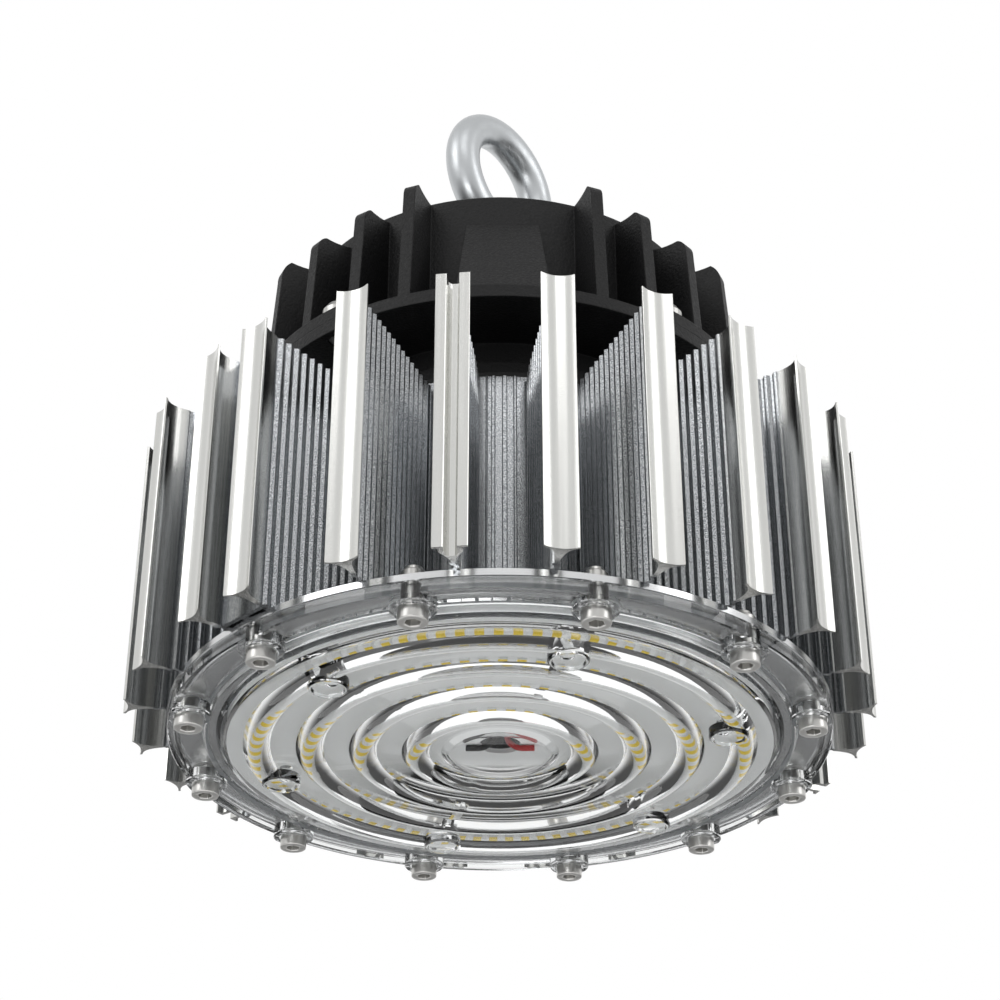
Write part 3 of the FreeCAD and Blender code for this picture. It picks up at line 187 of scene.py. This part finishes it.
# Rubber and silicone look dull; the board and cases look bright; the driver's parts take
# the colours that such parts are sold in.
FINISHES = {
    "extruded_aluminium": extruded_aluminium(),
    "turned_aluminium": turned_aluminium(),
    "black_casting": black_casting(),
    "clear_polycarbonate": clear_polycarbonate(),
    "stainless_steel": stainless_steel(),
    "eye_steel": forged_steel(),
    "black_rubber": plain_material("black_rubber", "#131313", 0.75),
    "grey_silicone": plain_material("grey_silicone", "#8F9294", 0.6),
    "white_solder_mask": plain_material("white_solder_mask", "#F1F2F2", 0.35),
    "led_package": plain_material("led_phosphor", "#EFCF14", 0.5),
    "black_nylon": plain_material("black_nylon", "#161617", 0.55),
    "green_fibreglass": plain_material("green_fibreglass", "#1D5A35", 0.4),
    "transformer_tape": plain_material("transformer_tape", "#D9B23A", 0.4),
    "capacitor_sleeve": plain_material("capacitor_sleeve", "#15181F", 0.3),
    "film_capacitor_case": plain_material("film_capacitor_case", "#D8A02A", 0.45),
    "ferrite": plain_material("coated_ferrite", "#2B4A34", 0.5),
    "terminal_polyamide": plain_material("terminal_polyamide", "#2B7A45", 0.5),
    "red_insulation": plain_material("red_silicone_insulation", "#B01214", 0.4),
    "black_insulation": plain_material("black_silicone_insulation", "#141414", 0.4),
}


def give(piece, finish):
    """Put one finish on a piece."""
    piece.data.materials.clear()
    piece.data.materials.append(finish)


for entry in frame["record"]["subparts"]:
    node = NODES[entry["node"]]
    for place in range(len(node.material_slots)):
        node.material_slots[place].material = FINISHES[entry["material_slot"]]


# ---------------------------------------------------------------- modelling

def deselect():
    """Nothing selected and nothing active."""
    if bpy.context.object and bpy.context.object.mode != "OBJECT":
        bpy.ops.object.mode_set(mode="OBJECT")
    bpy.ops.object.select_all(action="DESELECT")


def select_only(piece):
    """One piece selected and active."""
    deselect()
    piece.select_set(True)
    bpy.context.view_layer.objects.active = piece


def drawn(name, outline, plane="XZ"):
    """A chain of edges through the outline's points, in mm, drawn by extruding one vertex."""
    def spot(pair):
        first, second = pair
        return Vector((first, 0, second) if plane == "XZ" else (first, second, 0)) * MM
    deselect()
    bpy.ops.mesh.primitive_plane_add(size=MM)
    piece = bpy.context.object
    piece.name = name
    bpy.ops.object.mode_set(mode="EDIT")
    bpy.ops.mesh.merge(type="CENTER")
    bpy.ops.transform.translate(value=spot(outline[0]))
    for before, after in zip(outline, outline[1:]):
        step = spot(after) - spot(before)
        bpy.ops.mesh.extrude_region_move(TRANSFORM_OT_translate={"value": step})
    return piece


def turned(name, outline, steps=96, centre=(0.0, 0.0)):
    """A piece turned on a vertical axis from its outline of radius and height in mm."""
    piece = drawn(name, outline)
    bpy.ops.mesh.select_all(action="SELECT")
    bpy.ops.mesh.spin(steps=steps, angle=2 * math.pi, center=(0, 0, 0), axis=(0, 0, 1))
    bpy.ops.mesh.select_all(action="SELECT")
    bpy.ops.mesh.remove_doubles(threshold=0.002 * MM)
    bpy.ops.mesh.normals_make_consistent(inside=False)
    bpy.ops.transform.translate(value=(centre[0] * MM, centre[1] * MM, 0))
    bpy.ops.object.mode_set(mode="OBJECT")
    return piece


def smooth(piece, angle=30):
    """Smooth shading, with edges sharper than the angle kept."""
    select_only(piece)
    bpy.ops.object.shade_smooth_by_angle(angle=math.radians(angle))


def copies(piece, turns):
    """Copies of a piece turned about the light's axis by each angle in degrees."""
    made = []
    for turn in turns:
        select_only(piece)
        bpy.ops.object.duplicate(linked=False)
        copy = bpy.context.object
        copy.data.transform(Matrix.Rotation(math.radians(turn), 4, "Z"))
        made.append(copy)
    return made


def joined(name, parts):
    """Several meshes as one piece."""
    deselect()
    for part in parts:
        part.select_set(True)
    bpy.context.view_layer.objects.active = parts[0]
    if len(parts) > 1:
        bpy.ops.object.join()
    parts[0].name = name
    return parts[0]


def combine(piece, tool, operation):
    """Join, cut or keep what is common, and put the tool away."""
    select_only(piece)
    change = piece.modifiers.new(operation.lower(), "BOOLEAN")
    change.operation = operation
    change.object = tool
    change.solver = "EXACT"
    bpy.ops.object.modifier_apply(modifier=change.name)
    bpy.data.objects.remove(tool, do_unlink=True)
    return piece


def bulge(start, end, rise, steps):
    """Points of an arc from start to end that rises to its left by rise, in mm."""
    (x0, z0), (x1, z1) = start, end
    half = math.hypot(x1 - x0, z1 - z0) / 2
    radius = (half ** 2 + rise ** 2) / (2 * abs(rise))
    reach = math.asin(min(1.0, half / radius))
    along = ((x1 - x0) / (2 * half), (z1 - z0) / (2 * half))
    side = math.copysign(1, rise)
    points = []
    for step in range(1, steps):
        turn = reach * (2 * step / steps - 1)
        ahead = half + radius * math.sin(turn)
        up = side * (radius * math.cos(turn) - radius + abs(rise))
        points.append((x0 + along[0] * ahead - along[1] * up,
                       z0 + along[1] * ahead + along[0] * up))
    return points + [end]


def finish(piece, name, slot, node, angle=30):
    """Name a finished piece, give it its finish and put it in a node's place."""
    smooth(piece, angle)
    piece.name = name
    give(piece, FINISHES[slot])
    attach(piece, "root")
    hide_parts(node)


SCREW_TURNS = [15 + 30 * step for step in range(12)]
POST_TURNS = [45 + 60 * step for step in range(6)]
LENS_RINGS = [25.7, 41.7, 57.7, 73.7]
RING_HALF = 4.2
RING_RISE = 2.2
LENS_FACE = 3.8
LENS_RIM = 100.6
SCREW_CIRCLE = 95.0
SCREW_HOLE = 2.8
POST_CIRCLE = 70.0
PIN_CIRCLE = 68.7


def make_lens():
    """The clear lens: bulging rings over the LEDs, a flat inner face, a screw channel."""
    outside = [(0.0, 2.4), (14.6, 2.4), (15.5, 2.6), (17.6, 3.6), (18.4, LENS_FACE)]
    for radius in LENS_RINGS:
        start, end = (radius - RING_HALF, LENS_FACE), (radius + RING_HALF, LENS_FACE)
        outside.append(start)
        outside += bulge(start, end, -RING_RISE, 20)
    outside += [(82.4, LENS_FACE), (82.7, 3.9), (83.3, 4.8), (83.6, 5.0), (89.0, 5.0), (89.3, 5.2),
                (89.8, 6.9), (90.2, 7.2), (97.5, 7.2), (98.0, 6.9), (98.3, 5.9), (98.7, 5.6),
                (100.3, 5.6), (100.7, 6.0), (100.7, 9.4), (100.3, 9.8), (90.4, 9.8),
                (90.4, 8.6), (88.4, 8.6), (88.4, 9.8), (86.0, 9.8), (85.0, 6.5), (84.7, 6.3)]
    inside = [(17.9, 6.3), (17.2, 6.1), (15.2, 4.8), (14.6, 4.6), (0.0, 4.6)]
    lens = turned("lens_turned", outside + inside, 192)

    boss = turned("boss", [(0.0, 8.6), (6.6, 8.6), (6.6, 3.8), (6.2, 3.4), (4.95, 3.4),
                           (4.65, 3.7), (4.65, 4.9), (0.0, 4.9)], 40, (SCREW_CIRCLE, 0.0))
    bosses = joined("bosses", copies(boss, SCREW_TURNS))
    bpy.data.objects.remove(boss, do_unlink=True)
    rim = turned("rim", [(0.0, 12.0), (LENS_RIM, 12.0), (LENS_RIM, 0.0), (0.0, 0.0)], 192)
    combine(bosses, rim, "INTERSECT")
    combine(lens, bosses, "UNION")

    post = turned("post", [(0.0, 6.0), (6.0, 6.0), (6.0, 1.2), (5.4, 0.6), (4.9, 0.6),
                           (4.5, 1.4), (2.0, 1.6), (0.0, 1.6)], 40, (POST_CIRCLE, 0.0))
    posts = joined("posts", copies(post, POST_TURNS))
    bpy.data.objects.remove(post, do_unlink=True)
    combine(lens, posts, "UNION")
    pin = turned("pin", [(0.0, 8.18), (2.1, 8.18), (2.3, 4.6), (0.0, 4.6)], 24,
                 (PIN_CIRCLE, 0.0))
    pins = joined("pins", copies(pin, POST_TURNS))
    bpy.data.objects.remove(pin, do_unlink=True)
    combine(lens, pins, "UNION")

    hole = turned("hole", [(0.0, 12.0), (SCREW_HOLE, 12.0), (SCREW_HOLE, 0.0), (0.0, 0.0)], 24,
                  (SCREW_CIRCLE, 0.0))
    holes = joined("holes", copies(hole, SCREW_TURNS))
    bpy.data.objects.remove(hole, do_unlink=True)
    combine(lens, holes, "DIFFERENCE")
    finish(lens, "clear_lens", "clear_polycarbonate", "lens", 25)


def polygon_up(name, outline, bottom, top):
    """A closed outline in the horizontal plane, in mm, filled and pushed up."""
    piece = drawn(name, outline, "XY")
    bpy.ops.mesh.select_all(action="SELECT")
    bpy.ops.mesh.edge_face_add()
    bpy.ops.transform.translate(value=(0, 0, bottom * MM))
    bpy.ops.mesh.extrude_region_move(
        TRANSFORM_OT_translate={"value": (0, 0, (top - bottom) * MM)})
    bpy.ops.mesh.select_all(action="SELECT")
    bpy.ops.mesh.normals_make_consistent(inside=False)
    bpy.ops.object.mode_set(mode="OBJECT")
    return piece


def box(name, low, high, turn=0.0):
    """A plain block between two corners in mm, turned about the light's axis."""
    deselect()
    middle = [(a + b) / 2 * MM for a, b in zip(low, high)]
    bpy.ops.mesh.primitive_cube_add(size=1.0, location=middle)
    piece = bpy.context.object
    piece.name = name
    piece.scale = [(b - a) * MM for a, b in zip(low, high)]
    bpy.ops.object.transform_apply(location=True, rotation=True, scale=True)
    piece.data.transform(Matrix.Rotation(math.radians(turn), 4, "Z"))
    return piece


SINK_LOW, SINK_HIGH = 11.8, 100.8
TUBE_INSIDE, TUBE = 56.8, 60.8
PORT_CIRCLE, PORT_BORE, PORT_OUTSIDE = 53.0, 2.05, 4.8
FINS = 24
FIN_PITCH = 360 / FINS
SLOTTED_FINS = (22.5, 142.5, 262.5)
PAD_TURN = -135.0
PAD_PLAIN_FINS = (217.5, 232.5)
PAD_FINS = ((-140.17, (True, False)), (-129.83, (False, True)))
WEB_ROOT, WAVE_START = 60.4, 61.2
WEB_HALF = 0.65
WAVE = 0.5
WAVES = 13
WAVE_STEPS = 8
WAVE_SQUARENESS = 2.0
NECK = 105.0
TUBE_RIBS = [(-4.5, 0.35), (-2.65, 0.65), (0.55, 0.8), (3.5, 0.55)]


def web_side(hand):
    """One side of a waved web from the tube to the neck: ribs with flat tops, rounded."""
    points = [(WEB_ROOT, hand * WEB_HALF)]
    last = WAVES * WAVE_STEPS
    for step in range(last + 1):
        turn = 2 * math.pi * step / WAVE_STEPS
        lift = WAVE * math.tanh(WAVE_SQUARENESS * math.sin(turn)) / math.tanh(WAVE_SQUARENESS)
        points.append((WAVE_START + (NECK - WAVE_START) * step / last, hand * WEB_HALF + lift))
    return points


def plain_tip(hand):
    """Half of a fin's plain tip, with rounded corners."""
    half = [(106.8, 0.75), (108.6, 1.05), (110.1, 1.5), (111.3, 2.15), (112.3, 3.1),
            (112.9, 4.1), (113.15, 4.75), (113.3, 4.9), (113.85, 4.9), (114.0, 4.75)]
    return [(out, hand * side) for out, side in half]


def slotted_tip(hand):
    """Half of a fin's tip with a screw channel."""
    half = [(106.2, 0.8), (107.1, 1.15), (109.0, 2.2), (110.4, 3.2), (110.7, 3.3),
            (112.4, 3.3), (112.6, 3.45), (112.6, 4.75), (112.75, 4.9), (113.35, 4.9),
            (113.5, 4.75), (113.5, 2.0), (113.3, 1.8), (109.7, 1.8), (108.8, 1.4),
            (108.3, 0.8)]
    return [(out, hand * side) for out, side in half]


def fin_outline(kind, waved=(True, True)):
    """A fin's outline from its right root round the tip to its left root."""
    sides = []
    for hand, is_waved in zip((-1, 1), waved):
        tip = slotted_tip(hand) if kind == "slotted" else plain_tip(hand)
        if is_waved:
            sides.append(web_side(hand) + tip)
        else:
            side = WEB_HALF + WAVE
            sides.append([(WEB_ROOT, hand * side), (NECK, hand * side)] + tip[1:])
    middle = []
    if kind == "plain":
        right, left = sides[0][-1], sides[1][-1]
        middle = bulge(right, left, 1.4, 12)[:-1]
    return sides[0] + middle + sides[1][::-1]


def make_heat_sink():
    """The extrusion: tube with small ribs, screw ports, waved fins, slotted tips, flat pad."""
    wall = turned("tube", [(TUBE_INSIDE, SINK_LOW), (TUBE, SINK_LOW), (TUBE, SINK_HIGH),
                           (TUBE_INSIDE, SINK_HIGH), (TUBE_INSIDE, SINK_LOW)], 144)
    port = turned("port", [(PORT_BORE, SINK_LOW), (PORT_OUTSIDE, SINK_LOW),
                           (PORT_OUTSIDE, SINK_HIGH), (PORT_BORE, SINK_HIGH),
                           (PORT_BORE, SINK_LOW)], 32, (PORT_CIRCLE, 0.0))
    ports = joined("ports", copies(port, [60 * step for step in range(6)]))
    bpy.data.objects.remove(port, do_unlink=True)
    combine(wall, ports, "UNION")
    parts = [wall]
    plain = polygon_up("plain_fin", fin_outline("plain"), SINK_LOW, SINK_HIGH)
    slotted = polygon_up("slotted_fin", fin_outline("slotted"), SINK_LOW, SINK_HIGH)
    for step in range(FINS):
        turn = (step + 0.5) * FIN_PITCH
        if turn in PAD_PLAIN_FINS:
            continue
        kind = slotted if turn in SLOTTED_FINS else plain
        parts += copies(kind, [turn])
    for turn, waved in PAD_FINS:
        own = polygon_up("pad_fin", fin_outline("plain", waved), SINK_LOW, SINK_HIGH)
        parts += copies(own, [turn])
        bpy.data.objects.remove(own, do_unlink=True)
    bpy.data.objects.remove(plain, do_unlink=True)
    bpy.data.objects.remove(slotted, do_unlink=True)
    pad = box("pad", (99.2, -8.6, SINK_LOW), (103.0, 8.6, SINK_HIGH), PAD_TURN)
    for side in (-4.5, 4.5):
        cut = box("slot", (100.7, side - 3.1, SINK_LOW - 1), (101.5, side + 3.1, SINK_HIGH + 1),
                  PAD_TURN)
        combine(pad, cut, "DIFFERENCE")
    for turn, half in TUBE_RIBS:
        rib = polygon_up("tube_rib", [(WEB_ROOT, -half), (61.0, -half), (61.3, 0.3 - half),
                                      (61.3, half - 0.3), (61.0, half), (WEB_ROOT, half)],
                         SINK_LOW, SINK_HIGH)
        parts += copies(rib, [turn + FIN_PITCH * step for step in range(FINS)])
        bpy.data.objects.remove(rib, do_unlink=True)
    sink = joined("finned_heat_sink", parts + [pad])
    finish(sink, "finned_heat_sink", "extruded_aluminium", "heat_sink", 32)


def soften(piece, width, steps=2, angle=35):
    """A small rounding on every edge sharper than the angle. Width in mm."""
    select_only(piece)
    change = piece.modifiers.new("edges", "BEVEL")
    change.width = width * MM
    change.segments = steps
    change.limit_method = "ANGLE"
    change.angle_limit = math.radians(angle)
    bpy.ops.object.modifier_apply(modifier=change.name)


HEAD_RADIUS, HEAD_HEIGHT = 4.25, 5.0
SHANK_RADIUS, SHANK_END = 2.5, 16.6
SOCKET_RADIUS, SOCKET_DEPTH = 2.31, 3.0


def make_lens_screws():
    """Socket head screws: turned head and shank, hexagonal socket, rounded edges."""
    screw = turned("screw", [(0.0, 0.0), (HEAD_RADIUS, 0.0), (HEAD_RADIUS, HEAD_HEIGHT),
                             (SHANK_RADIUS, HEAD_HEIGHT), (SHANK_RADIUS, SHANK_END),
                             (0.0, SHANK_END)], 48)
    deselect()
    bpy.ops.mesh.primitive_cylinder_add(vertices=6, radius=SOCKET_RADIUS * MM,
                                        depth=2 * SOCKET_DEPTH * MM)
    combine(screw, bpy.context.object, "DIFFERENCE")
    soften(screw, 0.32, 3)
    screw.data.transform(Matrix.Translation((SCREW_CIRCLE * MM, 0, 0)))
    ring = joined("lens_screw_ring", copies(screw, SCREW_TURNS))
    bpy.data.objects.remove(screw, do_unlink=True)
    finish(ring, "lens_screw_ring", "stainless_steel", "lens_screws", 35)


EYE_RING, EYE_BAR = 20.6, 5.9
EYE_HEIGHT = 224.2
EYE_TURN = 50.2


def make_eye():
    """The forged lifting eye: ring, neck, collar and shank."""
    deselect()
    bpy.ops.mesh.primitive_torus_add(major_segments=128, minor_segments=48,
                                     major_radius=EYE_RING * MM, minor_radius=EYE_BAR * MM,
                                     location=(0, 0, EYE_HEIGHT * MM),
                                     rotation=(math.radians(90), 0, 0))
    ring = bpy.context.object
    bpy.ops.object.transform_apply(location=True, rotation=True, scale=True)
    stem = turned("stem", [(0.0, 147.0), (5.0, 147.0), (6.0, 148.0), (6.0, 183.6),
                           (14.6, 183.6), (15.0, 184.0), (15.0, 188.0), (14.4, 188.9),
                           (10.6, 190.4), (9.4, 191.2), (8.0, 194.5), (6.6, 199.5),
                           (5.8, 204.4), (0.0, 204.4)], 64)
    combine(ring, stem, "UNION")
    ring.data.transform(Matrix.Rotation(math.radians(EYE_TURN), 4, "Z"))
    finish(ring, "forged_eye", "eye_steel", "eye_bolt", 40)


LED_ROWS = list(zip(LENS_RINGS, (30, 49, 68, 87)))
LED_LOW, LED_HIGH = 7.5, 8.2
LED_HALF_LENGTH, LED_HALF_WIDTH = 1.75, 1.4
LED_WALL, WINDOW_SUNK = 0.06, 0.12


def make_leds():
    """LED packages in four rings: white cases with a sunk yellow phosphor window."""
    case = box("case", (-LED_HALF_LENGTH, -LED_HALF_WIDTH, LED_LOW),
               (LED_HALF_LENGTH, LED_HALF_WIDTH, LED_HIGH))
    select_only(case)
    bpy.ops.object.mode_set(mode="EDIT")
    bpy.ops.mesh.select_all(action="DESELECT")
    bpy.ops.object.mode_set(mode="OBJECT")
    for face in case.data.polygons:
        face.select = face.normal.z < -0.9
    bpy.ops.object.mode_set(mode="EDIT")
    bpy.ops.mesh.select_mode(type="FACE")
    bpy.ops.mesh.inset(thickness=LED_WALL * MM)
    bpy.ops.transform.translate(value=(0, 0, WINDOW_SUNK * MM))
    bpy.ops.mesh.separate(type="SELECTED")
    bpy.ops.object.mode_set(mode="OBJECT")
    window = [item for item in bpy.context.selected_objects if item is not case][0]
    for source, name, slot in ((case, "led_cases", "white_solder_mask"),
                               (window, "led_windows", "led_package")):
        made = []
        for radius, count in LED_ROWS:
            select_only(source)
            bpy.ops.object.duplicate(linked=False)
            first = bpy.context.object
            first.data.transform(Matrix.Translation((radius * MM, 0, 0)))
            made += copies(first, [360.0 * step / count for step in range(count)])
            bpy.data.objects.remove(first, do_unlink=True)
        bpy.data.objects.remove(source, do_unlink=True)
        finish(joined(name, made), name, slot, "leds")


make_lens()
make_heat_sink()
make_lens_screws()
make_eye()
make_leds()

# ---------------------------------------------------------------- stage

def area_lamp(name, place, target, size, power):
    """A soft rectangular lamp aimed at a point. Sizes in metres, power in watts."""
    data = bpy.data.lights.new(name, "AREA")
    data.shape = "RECTANGLE"
    data.size, data.size_y = size
    data.energy = power
    lamp = bpy.data.objects.new(name, data)
    bpy.context.scene.collection.objects.link(lamp)
    lamp.location = place
    lamp.rotation_euler = (Vector(target) - Vector(place)).to_track_quat("-Z", "Y").to_euler()


def make_floor():
    """A pale floor, well below the hanging light."""
    deselect()
    bpy.ops.mesh.primitive_plane_add(size=3.2, location=(0, 0, -1.3))
    floor = bpy.context.object
    floor.name = "floor"
    give(floor, plain_material("pale_floor", "#F4F4F4", 0.7))


CAMERA_LENS = 79.8
CAMERA_PLACE = (-0.0080, -0.6168, -0.2770)
CAMERA_TURN = (90 + 31.0, 0.0, -0.74)
BACKDROP_LEVEL, ROOM_LEVEL, LOW_LEVEL = 1.0, 0.8, 0.07
SCATTERED_LEVEL = 1.2
LAMPS = [
    ("key", (-2.7, -1.9, 1.8), (0, 0, 0.1), (1.8, 2.6), 26),
    ("fill", (2.9, -1.2, 1.0), (0, 0, 0.1), (1.3, 2.4), 18),
    ("top", (0.3, -2.4, 2.4), (0, 0, 0.1), (1.6, 1.2), 9),
    ("under", (-0.7, -2.3, -1.0), (0, 0, 0.05), (1.4, 0.8), 12),
]


def make_world():
    """A white backdrop for the camera and an even light for what is matt. Clear plastic and
    metal show a bright backdrop, a softer room in front and a dim floor far below."""
    world = bpy.data.worlds.new("studio")
    bpy.context.scene.world = world
    world.use_nodes = True
    tree = world.node_tree
    tree.nodes.clear()
    path = add_node(tree, "ShaderNodeLightPath")
    facing = add_node(tree, "ShaderNodeTexCoord")
    parts = add_node(tree, "ShaderNodeSeparateXYZ", Vector=facing.outputs["Generated"])
    backdrop = add_node(tree, "ShaderNodeMapRange", {"interpolation_type": "SMOOTHSTEP"},
                        in_0=parts.outputs[1], in_1=0.25, in_2=0.6, in_3=ROOM_LEVEL,
                        in_4=BACKDROP_LEVEL)
    room = add_node(tree, "ShaderNodeMapRange", {"interpolation_type": "SMOOTHSTEP"},
                    in_0=parts.outputs[2], in_1=-0.45, in_2=-0.12, in_3=LOW_LEVEL,
                    in_4=backdrop.outputs[0])
    scattered = add_node(tree, "ShaderNodeMath", {"operation": "GREATER_THAN"},
                         in_0=path.outputs["Diffuse Depth"], in_1=0.5)
    even = add_node(tree, "ShaderNodeMapRange", in_0=scattered.outputs[0], in_1=0.0, in_2=1.0,
                    in_3=room.outputs[0], in_4=SCATTERED_LEVEL)
    level = add_node(tree, "ShaderNodeMath", {"operation": "MAXIMUM"},
                     in_0=even.outputs[0], in_1=path.outputs["Is Camera Ray"])
    light = add_node(tree, "ShaderNodeBackground", Color=(1.0, 1.0, 1.0, 1.0),
                     Strength=level.outputs[0])
    add_node(tree, "ShaderNodeOutputWorld", Surface=light.outputs[0])


def make_camera():
    """The camera below the light, looking up at it."""
    data = bpy.data.cameras.new("camera")
    data.lens = CAMERA_LENS
    data.sensor_width = 36.0
    data.clip_start = 0.01
    camera = bpy.data.objects.new("camera", data)
    bpy.context.scene.collection.objects.link(camera)
    camera.location = CAMERA_PLACE
    camera.rotation_euler = [math.radians(turn) for turn in CAMERA_TURN]
    bpy.context.scene.camera = camera


make_floor()
make_world()
make_camera()
for lamp in LAMPS:
    area_lamp(*lamp)

bpy.context.scene.view_settings.view_transform = "Standard"
